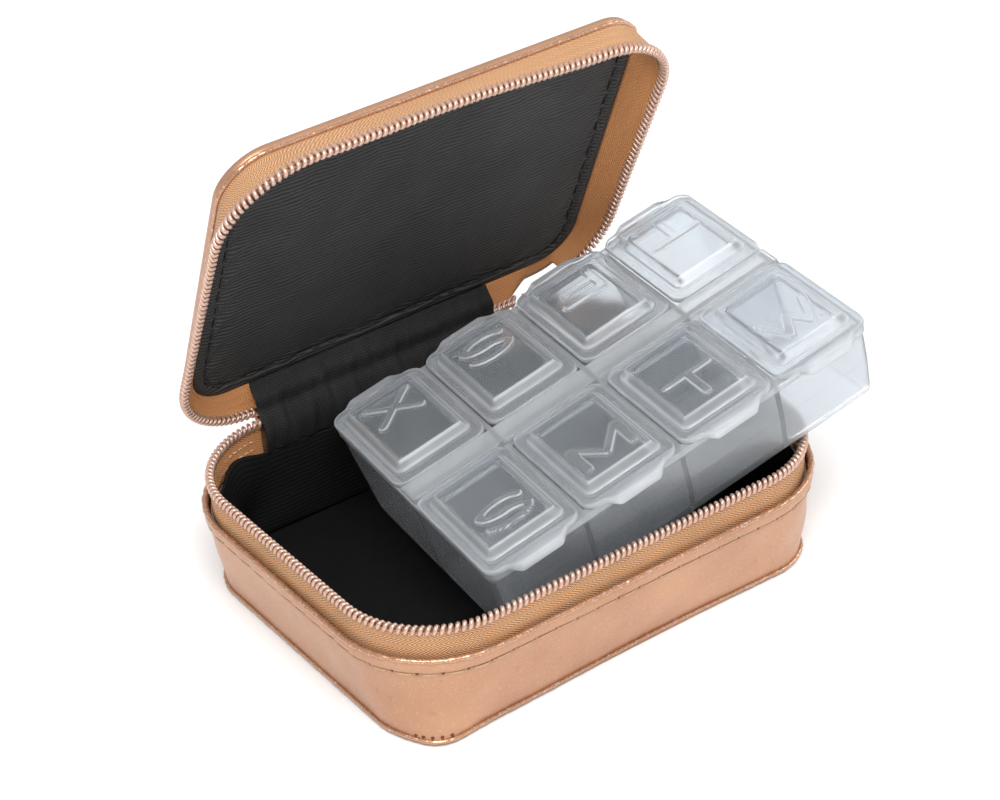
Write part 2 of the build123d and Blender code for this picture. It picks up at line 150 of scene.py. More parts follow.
def grid_piece(name, points, uv, body, finish, replaced=(), joined=(False, False), turned=False,
               solid=False):
    """A grid of points, rows by columns, as a piece. joined tells whether the last row meets the
    first and the last column the first. uv holds lengths in mm along the columns and rows, with
    one more value where they're joined."""
    rows, columns = points.shape[:2]
    row = np.arange(rows + joined[0])
    column = np.arange(columns + joined[1])
    index = (row % rows)[:, None] * columns + (column % columns)[None, :]
    u, v = np.broadcast_arrays(np.asarray(uv[0])[None, :], np.asarray(uv[1])[:, None])
    flat = np.stack([u, v], -1).reshape(-1, 2)
    corner_uv = flat[quads(np.arange(len(row) * len(column)).reshape(len(row), len(column)))]
    faces = quads(index)
    if turned:
        faces, corner_uv = faces[:, ::-1], corner_uv[:, ::-1]
    return make_piece(name, points.reshape(-1, 3), faces, corner_uv, body, finish, replaced,
                      solid or all(joined))


def thicken(piece, thickness):
    """Gives a one-sided sheet its thickness, on the side away from its face."""
    wall = piece.modifiers.new("thickness", "SOLIDIFY")
    wall.thickness = thickness * MM
    wall.offset = -1
    return piece


class Wire:
    """One node output. Arithmetic on it adds Math nodes, so patterns are written as sums."""

    def __init__(self, finish, socket):
        self.finish = finish
        self.socket = socket

    def math(self, operation, *others):
        inputs = dict(enumerate((self, *others)))
        return self.finish.node("Math", {"operation": operation}, inputs)

    def __add__(self, other):
        return self.math("ADD", other)

    def __sub__(self, other):
        return self.math("SUBTRACT", other)

    def __rsub__(self, other):
        return self.finish.node("Math", {"operation": "SUBTRACT"}, {0: other, 1: self})

    def __mul__(self, other):
        return self.math("MULTIPLY", other)

    def __truediv__(self, other):
        return self.math("DIVIDE", other)

    def __pow__(self, other):
        return self.math("POWER", other)

    __radd__ = __add__
    __rmul__ = __mul__


class Finish:
    """A material under construction."""

    def __init__(self, name):
        self.material = bpy.data.materials.new(name)
        self.material.use_nodes = True
        self.tree = self.material.node_tree
        self.tree.nodes.clear()

    def node(self, kind, settings=None, inputs=None, output=0):
        """Adds a node: its settings first, then its sockets' values or links."""
        made = self.tree.nodes.new("ShaderNode" + kind)
        for key, value in (settings or {}).items():
            setattr(made, key, value)
        for key, value in (inputs or {}).items():
            if isinstance(value, Wire):
                self.tree.links.new(value.socket, made.inputs[key])
            else:
                made.inputs[key].default_value = value
        return Wire(self, made.outputs[output])

    def place(self):
        """Each point's own place in its piece, in metres."""
        return self.node("TexCoord", output="Object")

    def lengths(self):
        """The piece's UV in mm, whole and then as its two parts: along it and across it."""
        uv = self.node("UVMap", {"uv_map": "UVMap"})
        return (uv, *(self.node("SeparateXYZ", None, {0: uv}, k) for k in (0, 1)))

    def noise(self, at, size_mm, detail=2.0, roughness=0.5, stretch=(1, 1, 1)):
        """Cloudy noise whose clouds are about this many mm across, 0 to 1."""
        spot = self.node("Mapping", None, {"Vector": at, "Scale": [1 / size_mm / MM * s for s in stretch]})
        inputs = {"Vector": spot, "Scale": 1.0, "Detail": detail, "Roughness": roughness}
        return self.node("TexNoise", None, inputs)

    def between(self, value, low, high):
        """0 below low, 1 above high and smooth in between."""
        inputs = {"Value": value, "From Min": low, "From Max": high}
        return self.node("MapRange", {"interpolation_type": "SMOOTHSTEP"}, inputs)

    def mix(self, share, first, second):
        return self.node("Mix", {"data_type": "RGBA"}, {0: share, 6: first, 7: second}, output=2)

    def bump(self, height, distance_mm, strength=1.0, under=None):
        inputs = {"Height": height, "Distance": distance_mm * MM, "Strength": strength}
        if under:
            inputs["Normal"] = under
        return self.node("Bump", None, inputs)

    def painted(self, inputs):
        """The finished material, with one plain surface shader."""
        return self.done(self.node("BsdfPrincipled", None, inputs))

    def done(self, shader):
        out = self.tree.nodes.new("ShaderNodeOutputMaterial")
        self.tree.links.new(shader.socket, out.inputs["Surface"])
        return self.material


def leatherette(name, polish_and_highlight, holes):
    """Rose-gold metallic leatherette: a foil colour clouded by handling, a fine pressed grain and
    shallow creases in the bump, darkened with painted shade. Pale foil flecks are strewn over it.
    polish is 0 for the flat panels and 1 for the rubbed folds, which it makes glossier and far more
    flecked, the extra flecks a painted highlight. With holes, painted shade darkens the needle
    holes along the seam line, by the piece's UV in mm."""
    skin = Finish(name)
    at = skin.place()
    clouds = skin.noise(at, 16, 3)
    grain = skin.noise(at, 0.45, 2, 0.6)
    creases = skin.noise(at, 3.2, 4, 0.62)
    flecks = skin.between(skin.noise(at, 0.5, 3, 0.7), 0.57, 0.66)
    tint = skin.mix(clouds, (0.40, 0.205, 0.120, 1), (0.58, 0.335, 0.205, 1))
    # Pale foil flecks; the folds get far more of them, which is a painted highlight.
    tint = skin.mix(flecks * (0.14 + 0.5 * polish_and_highlight), tint, (0.93, 0.82, 0.76, 1))
    # Painted shade: the creases are darkened towards a deep brown.
    tint = skin.mix(skin.between(creases, 0.60, 0.74) * 0.4, tint, (0.34, 0.18, 0.115, 1))
    if holes:
        # Painted shade in the needle holes: each hole's spot on the seam line is darkened nearly to black.
        _, u, v = skin.lengths()
        along = ((u / SEAM_STEP).math("FRACT") - 0.5) * SEAM_STEP
        away = (along * along * 0.8 + (v - holes) * (v - holes)) ** 0.5
        painted_hole_shade = 1 - skin.between(away, 0.22, 0.5)
        tint = skin.mix(painted_hole_shade * 0.85, tint, (0.06, 0.025, 0.015, 1))
    normal = skin.bump(grain, 0.035, 0.6, skin.bump(creases, 0.25 + 0.25 * polish_and_highlight, 0.35 + 0.3 * polish_and_highlight))
    inputs = {
        "Base Color": tint,
        "Metallic": 0.72,
        "Roughness": skin.between(grain, 0.2, 0.8) * 0.12 + (0.36 - 0.13 * polish_and_highlight),
        "Coat Weight": 0.15,
        "Coat Roughness": 0.25,
        "Normal": normal,
    }
    return skin.painted(inputs)


SEAM_RUN = run_lengths(wall_face, STITCH_Z, 0.0)
SEAM_COUNT = round(SEAM_RUN[1][-1] / STITCH_STEP)
SEAM_STEP = SEAM_RUN[1][-1] / SEAM_COUNT
wall_u = np.linspace(0, 1, 601)
wall_z = np.concatenate([np.linspace(0.1, 2.6, 5), np.linspace(3.5, 16.5, 14), np.linspace(17, WALL_TOP, 16)])
u_grid, z_grid = np.meshgrid(wall_u[:-1], wall_z)
seam_at = np.interp(u_grid, *SEAM_RUN)
from_hole = (seam_at / SEAM_STEP % 1 - 0.5) * SEAM_STEP
above = np.clip((z_grid - STITCH_Z) / (WALL_TOP - STITCH_Z), 0, 1)
wall_out = 0.45 * np.sin(np.pi * above) ** 0.8 * (1 - 0.3 * bell(from_hole, 0, 1.2))
hole_dent = 0.35 * np.exp(-(from_hole**2 + (z_grid - STITCH_Z) ** 2) / 0.4)
wall_out -= 0.22 * bell(z_grid, STITCH_Z, 0.5) + hole_dent
wall_out += 0.16 * np.sin(2 * np.pi * (9 * u_grid) + 0.35 * z_grid) * np.sin(np.pi * z_grid / RIM_Z)
wall_out += 0.10 * np.sin(2 * np.pi * (23 * u_grid) - 0.5 * z_grid + 1) * np.sin(np.pi * z_grid / RIM_Z)
wall_skin = leatherette("leatherette_wall", 0.0, STITCH_Z)
side_wall = grid_piece("base_side_wall_leather", wall_face(u_grid, z_grid, wall_out),
                       (np.interp(wall_u, *SEAM_RUN), wall_z), "base", wall_skin,
                       ["base_side_wall"], joined=(False, True))
thicken(side_wall, LEATHER_T)

# ---------------------------------------------------------------- base: bottom panel
# The same leatherette, glued flat under a board and lapped over by the wall's foot; it's
# slightly drawn in between its edges.
PANEL_BELOW_SIZE = (105.6, 81.0, 12.7)
PANEL_BELOW_TOP = 1.05


def rounded_grid(x, y, r, columns, rows):
    """A grid that fills a rounded rectangle: each row is as wide as the outline is there. columns
    and rows run from -1 to 1."""
    gy = rows[:, None] * y / 2 + 0 * columns
    into_corner = np.clip(np.abs(gy) - (y / 2 - r), 0, r)
    gx = columns * (x / 2 - r + np.sqrt(r**2 - into_corner**2))
    return gx, gy


def inside(gx, gy, x, y, r):
    """How far a point lies inside a rounded rectangle; negative outside."""
    qx, qy = np.abs(gx) - (x / 2 - r), np.abs(gy) - (y / 2 - r)
    return r - np.hypot(np.maximum(qx, 0), np.maximum(qy, 0)) - np.minimum(np.maximum(qx, qy), 0)


def spread(first, *stops):
    """Grid places from first on; each stop is (where it ends, how many steps lead there)."""
    starts = [first, *(place for place, _ in stops[:-1])]
    runs = [np.linspace(a, b, n + 1)[1:] for a, (b, n) in zip(starts, stops)]
    return np.concatenate([[first], *runs])


def slab_piece(name, top, bottom, body, finish, replaced=(), uv=None):
    """A closed slab between two grids that share their outline; uv is each grid point's place in
    mm, its X and Y unless given."""
    rows, columns = top.shape[:2]
    index = np.arange(rows * columns).reshape(rows, columns)
    edge = np.concatenate([index[0, :-1], index[:-1, -1], index[-1, :0:-1], index[:0:-1, 0]])
    after = np.roll(edge, -1)
    below = rows * columns
    side = np.stack([edge, edge + below, after + below, after], -1)
    faces = np.concatenate([quads(index), quads(index)[:, ::-1] + below, side])
    points = np.concatenate([top.reshape(-1, 3), bottom.reshape(-1, 3)])
    flat = points[:, :2] if uv is None else np.tile(uv.reshape(-1, 2), (2, 1))
    return make_piece(name, points, faces, flat[faces], body, finish, replaced, True)


panel_skin = leatherette("leatherette_panel", 0.0, None)
edge_to_edge = spread(-1, (-0.94, 6), (0.94, 60), (1, 6))
gx, gy = rounded_grid(*PANEL_BELOW_SIZE, edge_to_edge, edge_to_edge)
drawn_in = np.clip(inside(gx, gy, *PANEL_BELOW_SIZE) / 14, 0, 1)
bottom_z = 0.05 + 0.55 * drawn_in * (1 + 0.15 * np.sin(gx / 7) * np.cos(gy / 9))
slab_piece("base_bottom_leather", np.stack([gx, gy, bottom_z], -1),
           np.stack([gx, gy, 0 * gx + PANEL_BELOW_TOP], -1), "base", panel_skin,
           ["base_bottom_panel"])


# ---------------------------------------------------------------- base: welt round the foot
# Wall and bottom meet in a thin turned seam. It's a soft lip of leatherette, pinched a little at
# every stitch under it, rubbed glossy and brightened with extra pale flecks as a painted highlight.
fold_skin = leatherette("leatherette_fold", 1.0, None)
bead_u = np.linspace(0, 1, 721)


def leather_bead(name, face, along, swell, middle, half, sides, girth, body, replaced):
    """A bead of leatherette round a whole loop: a closed oval profile, given by its middle and its
    half sizes outwards and up, is carried along the loop's face. swell scales it at each place
    along; girth is the way round the profile in mm."""
    turn = np.linspace(0, 2 * np.pi, sides + 1)[:-1]
    out = middle[0] + half[0] * swell[:-1, None] * np.cos(turn)
    z = middle[1] + half[1] * swell[:-1, None] * np.sin(turn)
    points = face(np.broadcast_to(bead_u[:-1, None], out.shape), z, out)
    grid_piece(name, points, (np.linspace(0, girth, sides + 1), along), body, fold_skin,
               [replaced], joined=(True, True))


WELT_PINCH = 3.1
bead_s = np.interp(bead_u, *SEAM_RUN)
from_pinch = (bead_s / WELT_PINCH % 1 - 0.5) * WELT_PINCH
pinch = 1 - 0.16 * bell(from_pinch, 0, 0.5) + 0.06 * np.sin(bead_s * 0.8)
leather_bead("base_welt_lip", wall_face, bead_s, pinch, (0.15, 0.8), (0.55, 0.48), 12, 5, "base", "base_welt")

# ---------------------------------------------------------------- base: rolled rim fold
# The strip's top is turned over and sewn down, which leaves a round, rubbed roll that puckers
# between the stitches, glossier than the panels and brightened with extra pale flecks as a painted
# highlight.
from_stitch = (bead_s / SEAM_STEP % 1 - 0.5) * SEAM_STEP
pucker = 1 + 0.09 * np.sin(bead_s * 1.9) + 0.05 * np.sin(bead_s * 3.7 + 1) - 0.12 * bell(from_stitch, 0, 0.7)
leather_bead("base_rim_roll", wall_face, bead_s, pucker, (-0.3, 21.6), (0.72, 0.62), 14, 5, "base",
             "base_rim_fold")


# ---------------------------------------------------------------- base: rim stitches
# Spun tan thread, one long stitch every 5 mm, each end pulled down into its needle hole.
def stitch_piece(name, face, places, half_length, z, out, sides_of, body, finish, radius=0.21,
                 dip=(-1, 0)):
    """Many short thread runs on a loop face as one mesh: a round thread follows the loop for each
    stitch, thinned to a point and sunk along dip, as shares outwards and up, at both ends."""
    u_of, s_of = sides_of
    turn = np.linspace(0, 2 * np.pi, 7)[:-1]
    t = np.linspace(-1, 1, 7)
    s = places[:, None, None] + half_length * t[None, :, None] + 0 * turn
    thick = radius * np.sqrt(np.clip(1 - t**8, 0, 1))[None, :, None] + 0 * s
    sunk = 0.42 * np.abs(t[None, :, None]) ** 5
    u = np.interp(s % s_of[-1], s_of, u_of)
    spots = face(u, z + sunk * dip[1] + thick * np.sin(turn), out + sunk * dip[0] + thick * np.cos(turn))
    count, rings, sides = spots.shape[:3]
    index = np.arange(rings * sides).reshape(rings, sides)
    index = np.concatenate([index, index[:, :1]], axis=1)
    faces = (quads(index)[None] + (np.arange(count) * rings * sides)[:, None, None]).reshape(-1, 4)
    uv = np.zeros((len(faces), 4, 2))
    return make_piece(name, spots.reshape(-1, 3), faces, uv, body, finish, (), True)


def spun_thread(name, dark, light, gloss):
    """Spun thread: two close colours twisted round each other, with the twist in the bump."""
    thread = Finish(name)
    at = thread.place()
    strands = thread.noise(at, 0.25, 1, 0.5)
    inputs = {
        "Base Color": thread.mix(strands, dark, light),
        "Roughness": gloss,
        "Normal": thread.bump(strands, 0.05, 0.8),
    }
    return thread.painted(inputs)


tan_thread = spun_thread("thread_tan", (0.34, 0.19, 0.10, 1), (0.62, 0.40, 0.25, 1), 0.6)
rim_places = (np.arange(SEAM_COUNT) + 1.0) * SEAM_STEP
stitch_piece("base_rim_stitches", wall_face, rim_places, STITCH_HALF, STITCH_Z, 0.06, SEAM_RUN,
             "base", tan_thread, radius=0.32)

# ---------------------------------------------------------------- base: foot stitches
# At the front left corner the foot seam stands off, and five short dark stitches show beside it.
FRONT_LEFT = 0.368
FOOT_SEAM_Z = 1.75
dark_thread = spun_thread("thread_dark", (0.03, 0.013, 0.008, 1), (0.10, 0.045, 0.025, 1), 0.6)
corner_places = np.interp(FRONT_LEFT, *SEAM_RUN) + np.array([-5.6, -3.3, -0.6, 2.1, 5.0])
stitch_piece("base_foot_stitches", wall_face, corner_places, 0.62, FOOT_SEAM_Z, 0.1, SEAM_RUN, "base",
             dark_thread, radius=0.24)

# ---------------------------------------------------------------- stiffener boards
# Grey pulp board, die-cut, shut in between the leather and the lining of base and lid.
pulp = Finish("pulp_board")
pulp_fibres = pulp.noise(pulp.place(), 1.2, 4, 0.7)
pulp_board = pulp.painted({
    "Base Color": pulp.mix(pulp_fibres, (0.24, 0.22, 0.20, 1), (0.42, 0.40, 0.36, 1)),
    "Roughness": 0.9,
    "Normal": pulp.bump(pulp_fibres, 0.05, 0.5),
})


def refinish(node, finish):
    """Gives a CAD node's object another material in every slot."""
    for material_slot in frame["nodes"][node].material_slots:
        material_slot.material = finish


for board in ("base_wall_board", "base_floor_board", "lid_board"):
    refinish(board, pulp_board)


# ---------------------------------------------------------------- base: lining
# Thin black ribbed nylon. The floor piece lies on its board; the wall piece is cut a little long,
# sewn in at the top and glued at the foot, so it puffs into soft upright folds, most at the
# back left corner, where its top edge rides up over the zipper tape.
RIB = 0.85
NYLON_T = 0.35
FLOOR_LINING_SIZE = (102.4, 77.8, 11.2)


def ribbed_nylon(name, rib, wander, dotted, dark, light, relief):
    """Ribbed nylon by the piece's UV in mm: ribs across V every rib mm, wandering sideways with U,
    and fine threads across them. dotted turns the ribs into a gusset's dotted cross weave. dark
    and light are the greys of the grooves and of the ribs: on one black cloth the dark grooves are
    painted shade and the lighter ribs a painted sheen. relief is how strongly they stand out."""
    cloth = Finish(name)
    uv, u, v = cloth.lengths()
    drift = cloth.node("TexNoise", None, {"Vector": uv, "Scale": 0.09, "Detail": 2.0, "Roughness": 0.5})
    wave = v / rib + (u * 0.28).math("SINE") * 0.12 + drift * wander
    ribs = ((wave * 2 * math.pi).math("SINE") + 1) * 0.5
    threads = ((u * (2 * math.pi / 0.42)).math("SINE") + 1) * 0.5
    if dotted:
        raised = ribs * threads
    else:
        raised = ribs * 0.85 + threads * 0.15
    fuzz = cloth.noise(cloth.place(), 0.18, 2, 0.7)
    shade = cloth.noise(cloth.place(), 14, 2, 0.5)
    # Painted sheen on the rib crests and painted shade in the grooves, by the rib mask.
    crown = cloth.mix(shade, [0.6 * light] * 3 + [1], [1.2 * light] * 3 + [1])
    inputs = {
        "Base Color": cloth.mix(raised * 0.75 + fuzz * 0.25, [dark] * 3 + [1], crown),
        "Roughness": 0.62,
        "Specular IOR Level": 0.12 + 0.2 * relief,
        "Normal": cloth.bump(raised + fuzz * 0.3, 0.16, relief),
    }
    return cloth.painted(inputs)


# This copy's ribs are kept nearly black: painted shade inside the case, on the same nylon as the lid's.
base_nylon = ribbed_nylon("nylon_base", RIB, 1.2, False, 0.002, 0.008, 0.3)
floor_steps = np.linspace(-1, 1, 81)
gx, gy = rounded_grid(*FLOOR_LINING_SIZE, floor_steps, floor_steps)
hem = np.clip(inside(gx, gy, *FLOOR_LINING_SIZE) / 5, 0, 1)
ripple = 0.18 * hem * (np.sin(gx / 5.3 + gy / 11) + np.sin(gy / 6.1 - gx / 17 + 2))
floor_top = np.stack([gx, gy, 2.85 + ripple + 0.2 * hem], -1)
floor_under = floor_top - [0, 0, NYLON_T] - ripple[..., None] * [0, 0, 1] - hem[..., None] * [0, 0, 0.2]
floor_lining = slab_piece("base_floor_lining", floor_top, floor_under, "base", base_nylon,
                          ["base_lining_floor"])

lining_u = np.linspace(0, 1, 541)
lining_v = np.concatenate([np.linspace(0, 0.12, 4), np.linspace(0.16, 0.86, 26), np.linspace(0.89, 1, 6)])
u_grid, v_grid = np.meshgrid(lining_u[:-1], lining_v)
back_left = bell(u_grid, 0.15, 0.07)
lining_z = 3.0 + 16.8 * v_grid + back_left * v_grid**3 * (3.0 + 1.1 * np.sin(u_grid * 120))
puff = np.sin(np.pi * np.clip(v_grid, 0, 1)) ** 0.7
folds = (np.sin(2 * np.pi * (11 * u_grid + 0.6 * np.sin(9 * u_grid)) + 2.2 * v_grid)
         + 0.6 * np.sin(2 * np.pi * (19 * u_grid + 0.5 * np.sin(13 * u_grid)) - 3 * v_grid + 1)
         + 0.7 * np.sin(2 * np.pi * 5 * u_grid + 5 * v_grid))
lining_in = 2.75 + 0.12 * folds * puff + 0.35 * puff + back_left * puff * (0.9 + 0.45 * folds)
lining_in += back_left * v_grid**3 * (0.75 + 0.3 * np.sin(u_grid * 190))
wall_lining = grid_piece("base_wall_lining", wall_face(u_grid, lining_z, -lining_in),
                         (np.interp(lining_u, *SEAM_RUN), 17 * lining_v), "base", base_nylon,
                         ["base_lining_wall"], joined=(False, True), turned=True)
thicken(wall_lining, NYLON_T)

# ---------------------------------------------------------------- base: zipper tape
# Tan woven tape, sewn in behind the rim with two rows of thread and standing up to carry the
# coil. It's a herringbone weave; its lower edge tucks in behind the rolled rim.
TAPE_SIZE = (112.4, 87.8, 21.2)
TAPE_FOOT = 20.0
TAPE_HEAD = 27.7
TAPE_T = 0.6
HINGE_LEFT = -33.8
HINGE_RIGHT = 27.6
STITCH_ROWS = (22.3, 24.4)


def zip_face(u, z, out):
    """The base zipper's tape line: one upright rounded rectangle, moved outwards by out."""
    px, py, nx, ny = loop_points(u, *TAPE_SIZE)
    return np.stack(np.broadcast_arrays(px + nx * out, py + ny * out, z), axis=-1)


def back_shares(face, left, right):
    """The loop shares at which the back side is at two X places."""
    u = np.linspace(0, 1, 4001)
    x = face(u, 0.0, 0.0)[:, 0]
    first, last = u < 0.25, u > 0.75
    return np.interp(-left, -x[first], u[first]), np.interp(-right, -x[last], u[last])


def woven_tape(name, face_tone, back_tone, chevron, inside_first):
    """Herringbone tape by its UV in mm: slanting threads that turn back every chevron, with fine
    threads along it, darkened between them as painted shade. Its inner face is a warmer tone, told
    by the sign of the UV's V."""
    cloth = Finish(name)
    _, u, v = cloth.lengths()
    there_and_back = ((v / chevron).math("FRACT") - 0.5).math("ABSOLUTE") * (2 * chevron)
    slant = ((u + there_and_back * 0.9) * (2 * math.pi / 0.95)).math("SINE") * 0.5 + 0.5
    along = ((v * (2 * math.pi / 0.5)).math("SINE")) * 0.5 + 0.5
    raised = cloth.between(slant * 0.85 + along * 0.15, 0.2, 0.8)
    fibres = cloth.noise(cloth.place(), 0.16, 2, 0.7)
    clouds = cloth.noise(cloth.place(), 9, 2, 0.5)
    # Painted shade: the weave's low threads are darkened to a third of the tape's tone, and on the inner face
    # to six tenths.
    dark = [0.34 * c for c in face_tone] + [1]
    light = cloth.mix(clouds, [0.86 * c for c in face_tone] + [1], [1.1 * c for c in face_tone] + [1])
    outer = cloth.mix(raised * 0.8 + fibres * 0.2, dark, light)
    inner = cloth.mix(raised * 0.5 + fibres * 0.5, [0.6 * c for c in back_tone] + [1], [*back_tone, 1])
    inputs = {
        "Base Color": cloth.mix(cloth.between(v, inside_first - 0.3, inside_first), outer, inner),
        "Roughness": 0.62,
        "Specular IOR Level": 0.35,
        "Normal": cloth.bump(raised + fibres * 0.4, 0.14, 0.8),
    }
    return cloth.painted(inputs)


INNER_V = 100.0
tape_cloth = woven_tape("zipper_tape", (0.76, 0.41, 0.205), (0.78, 0.34, 0.13), 2.3, INNER_V)


def tape_piece(name, face, shares, lengths_of, foot, head, body, finish, replaced, wall=TAPE_T):
    """A standing tape as one thin closed strip: up its outer face, over the free edge and down the
    inner one, wall apart, with a faint sway along it. The inner face's V starts at INNER_V."""
    u = np.linspace(*shares, 700)
    s = np.interp(u, *lengths_of)
    rise = np.linspace(0, 1, 12)
    up = np.concatenate([rise, rise[::-1]])
    which = np.concatenate([0 * rise, 0 * rise + 1])
    sway = 0.13 * np.sin(s / 4.7)[:, None] * np.sin(np.pi * up) + 0.08 * np.sin(s / 2.1 + 1)[:, None] * up
    out = sway - wall * which - 0.05
    edge = np.broadcast_to(head(u) if callable(head) else head, u.shape)[:, None]
    points = face(u[:, None] + 0 * up, foot + (edge - foot) * up + 0 * out, out)
    slope = np.linalg.norm(face(u[:1], edge[0], 0.0) - face(u[:1], foot, 0.0))
    width = slope * up + INNER_V * which
    points[[0, -1]] = 0.5 * (points[[0, -1]] + points[[0, -1], ::-1])
    points = np.concatenate([points, points[:, :1]], axis=1)
    width = np.concatenate([width, [0.0]])
    strip = grid_piece(name, points, (width, s), body, finish, replaced, solid=True)
    layer = strip.data.uv_layers["UVMap"]
    pairs = np.zeros(len(layer.data) * 2, np.float32)
    layer.data.foreach_get("uv", pairs)
    layer.data.foreach_set("uv", pairs.reshape(-1, 2)[:, ::-1].ravel())
    return strip


tape_shares = back_shares(zip_face, HINGE_LEFT, HINGE_RIGHT)
TAPE_RUN = run_lengths(zip_face, TAPE_HEAD, 0.0)
tape_piece("base_zipper_tape_strip", zip_face, tape_shares, TAPE_RUN, TAPE_FOOT, TAPE_HEAD, "base",
           tape_cloth, ["base_zipper_tape"])
row_places = np.arange(TAPE_RUN[1][-1] * tape_shares[0] + 2, TAPE_RUN[1][-1] * tape_shares[1] - 2, 1.7)
pale_thread = spun_thread("thread_pale", (0.50, 0.33, 0.20, 1), (0.82, 0.64, 0.46, 1), 0.6)
for row, row_z in enumerate(STITCH_ROWS):
    stitch_piece(f"base_tape_stitches_{row + 1}", zip_face, row_places, 0.65, row_z, -TAPE_T - 0.02,
                 TAPE_RUN, "base", pale_thread, radius=0.13)

# ---------------------------------------------------------------- base: zipper coil
# Metallised nylon monofilament wound into a coil of 1.4 mm pitch that clasps the tape's free edge.
# It stops either side of the hinge and where the slider sits.
COIL_PITCH = 1.42
COIL_WIRE = 0.47
COIL_HALF_W = 0.58
COIL_HALF_H = 0.78
COIL_IN = -0.35
BASE_COIL_Z = 27.85
SLIDER_LEFT, SLIDER_RIGHT = (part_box("zipper_slider")[k][0] / MM for k in (0, 1))


def coil_piece(name, face, u_from, u_to, lengths_of, middle_z, body, replaced):
    """A wound coil on a loop face: its line circles the tape's edge once every pitch, a little
    squared, and a round wire of six sides follows that line."""
    u_of, s_of = lengths_of
    s0, s1 = np.interp((u_from, u_to), u_of, s_of)
    turns = round((s1 - s0) / COIL_PITCH)
    t = np.linspace(0, turns, 12 * turns + 1)
    u = np.interp(s0 + (s1 - s0) * t / turns, s_of, u_of)
    wave = np.stack([np.cos(2 * np.pi * t), np.sin(2 * np.pi * t)])
    squared = np.sign(wave) * np.abs(wave) ** 0.8
    line = face(u, middle_z + COIL_HALF_H * squared[1], COIL_IN + COIL_HALF_W * squared[0])
    ahead = np.gradient(line, axis=0)
    ahead /= np.linalg.norm(ahead, axis=1, keepdims=True)
    away = line - face(u, middle_z + 0 * u, COIL_IN)
    side = np.cross(ahead, away)
    side /= np.linalg.norm(side, axis=1, keepdims=True)
    away = np.cross(side, ahead)
    angle = np.linspace(0, 2 * np.pi, 7)[:-1, None]
    wire = np.where((t == 0) | (t == turns), 0.0, COIL_WIRE)[:, None, None]
    points = line[:, None] + wire * (np.cos(angle) * away[:, None] + np.sin(angle) * side[:, None])
    points = np.concatenate([points, points[:, :1]], axis=1)
    faces = quads(np.arange(points.shape[0] * 7).reshape(-1, 7))
    flat = np.stack(np.broadcast_arrays(np.linspace(0, 2.2, 7)[None], t[:, None] * 5.0), -1).reshape(-1, 2)
    make_piece(name, points.reshape(-1, 3), faces, flat[faces], body, coil_skin, replaced, True)


def coil_pair(half, face, ends, at_slider, lengths_of, middle_z, body):
    """The coil of one half of the zipper: the long run round the case and the stub on the slider's
    other side."""
    coil_piece(f"{half}_coil_long", face, ends[0], at_slider[1], lengths_of, middle_z, body,
               [f"{half}_zipper_coil"])
    coil_piece(f"{half}_coil_stub", face, at_slider[0], ends[1], lengths_of, middle_z, body, ())


def coil_finish():
    """Rose-copper metallised nylon: its tone and gloss vary together at random in clouds about a millimetre
    across, over a fine bump.
    """
    wound = Finish("coil_rose")
    tone = wound.noise(wound.place(), 1.1, 2, 0.6)
    inputs = {
        "Base Color": wound.mix(tone, (0.46, 0.28, 0.21, 1), (0.76, 0.53, 0.43, 1)),
        "Metallic": 0.65,
        "Roughness": wound.between(tone, 0.2, 0.8) * 0.15 + 0.30,
        "Coat Weight": 0.3,
        "Coat Roughness": 0.12,
        "Normal": wound.bump(wound.noise(wound.place(), 0.12, 1), 0.02, 0.4),
    }
    return wound.painted(inputs)


coil_skin = coil_finish()
slider_shares = [back_shares(zip_face, 0.0, x)[1] for x in (SLIDER_LEFT - 0.8, SLIDER_RIGHT + 0.5)]
coil_pair("base", zip_face, tape_shares, slider_shares, TAPE_RUN, BASE_COIL_Z, "base")

# ---------------------------------------------------------------- slider and pull
# Die-cast zinc, plated rose gold and polished, with fine tumbling marks.
plated = Finish("plated_zinc")
plated_marks = plated.noise(plated.place(), 0.5, 3, 0.6, stretch=(1, 1, 0.25))
plated_zinc = plated.painted({
    "Base Color": plated.mix(plated_marks, (0.66, 0.37, 0.26, 1), (0.86, 0.56, 0.43, 1)),
    "Metallic": 1.0,
    "Roughness": plated.between(plated_marks, 0.3, 0.7) * 0.14 + 0.18,
    "Normal": plated.bump(plated_marks, 0.02, 0.3),
})
refinish("zipper_slider", plated_zinc)
refinish("zipper_pull", plated_zinc)

# ---------------------------------------------------------------- lid: zipper coil and tape
# The lid is worked out shut, in the place it has over the base, and then turned open 66.4 degrees
# about the hinge line. Its tape and coil are the other half of the base's.
hinge = next(joint for joint in frame["record"]["behaviour"]["joints"] if joint["name"] == "case_lid_hinge")
HINGE_POINT = np.array(hinge["pos_m"]) / MM
LID_OPEN = math.radians(66.4)
LID_TAPE_HEAD = 30.1
LID_TAPE_FOOT = 33.6
LID_TAPE_WALL = 1.1
LID_COIL_Z = 29.75
TAPE_LEAN = math.tan(math.radians(2.2))
LID_SEAM_SIZE = (103.0, 77.8, 10.8)


def open_lid(points):
    """Points of the shut lid, turned back about the hinge line and moved to its middle."""
    y, z = points[..., 1] - HINGE_POINT[1], points[..., 2] - HINGE_POINT[2]
    turned_y = y * math.cos(LID_OPEN) + z * math.sin(LID_OPEN) + HINGE_POINT[1]
    turned_z = z * math.cos(LID_OPEN) - y * math.sin(LID_OPEN) + HINGE_POINT[2]
    return np.stack([points[..., 0] + HINGE_POINT[0], turned_y, turned_z], axis=-1)


